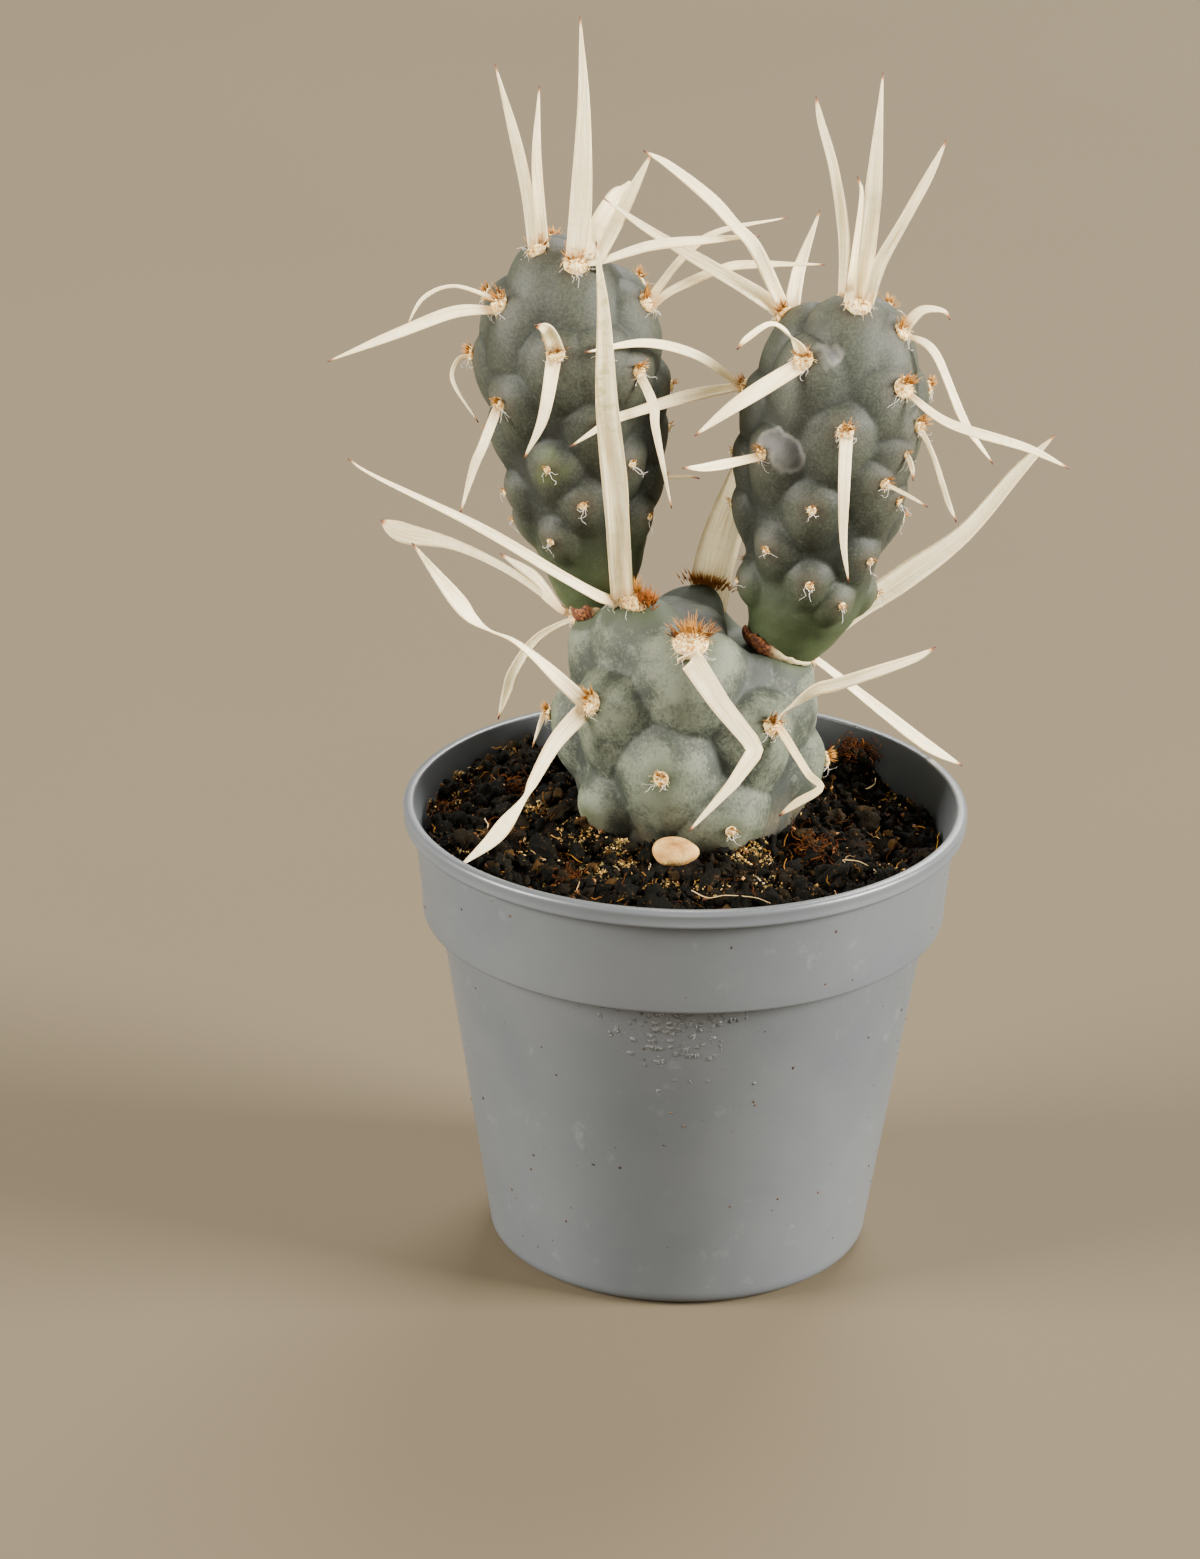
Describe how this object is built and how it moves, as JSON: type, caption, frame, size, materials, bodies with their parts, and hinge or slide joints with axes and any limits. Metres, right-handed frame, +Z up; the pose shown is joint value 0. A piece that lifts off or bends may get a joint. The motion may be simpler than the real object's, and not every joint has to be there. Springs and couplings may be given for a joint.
{
  "type": "potted cactus",
  "caption": "Potted paper-spine cactus: a squat base joint carries taller stem joints with tubercles and long flat papery spines, standing in peat in a round lipped nursery pot.",
  "frame": {"origin": "centre of the pot's underside, where the pot rests", "axes": "+Z up along the pot's axis, -Y towards the front of the plant as pictured, +X to the right seen from the front"},
  "size_m": [0.0858, 0.0669, 0.1435],
  "materials": {
    "pot_plastic": "satin grey polypropylene",
    "potting_soil": "rough black-brown peat with fibres",
    "pebble_stone": "matte pale tan stone",
    "base_skin": "waxy grey-green skin with a pale bloom",
    "left_skin": "waxy dark grey-green skin",
    "right_skin": "waxy dark grey-green skin"
  },
  "bodies": {
    "root": {"pot": "pot_plastic", "soil": "potting_soil", "pebble": "pebble_stone", "base_joint": "base_skin", "left_joint": "left_skin", "right_joint": "right_skin"}
  },
  "joints": []
}
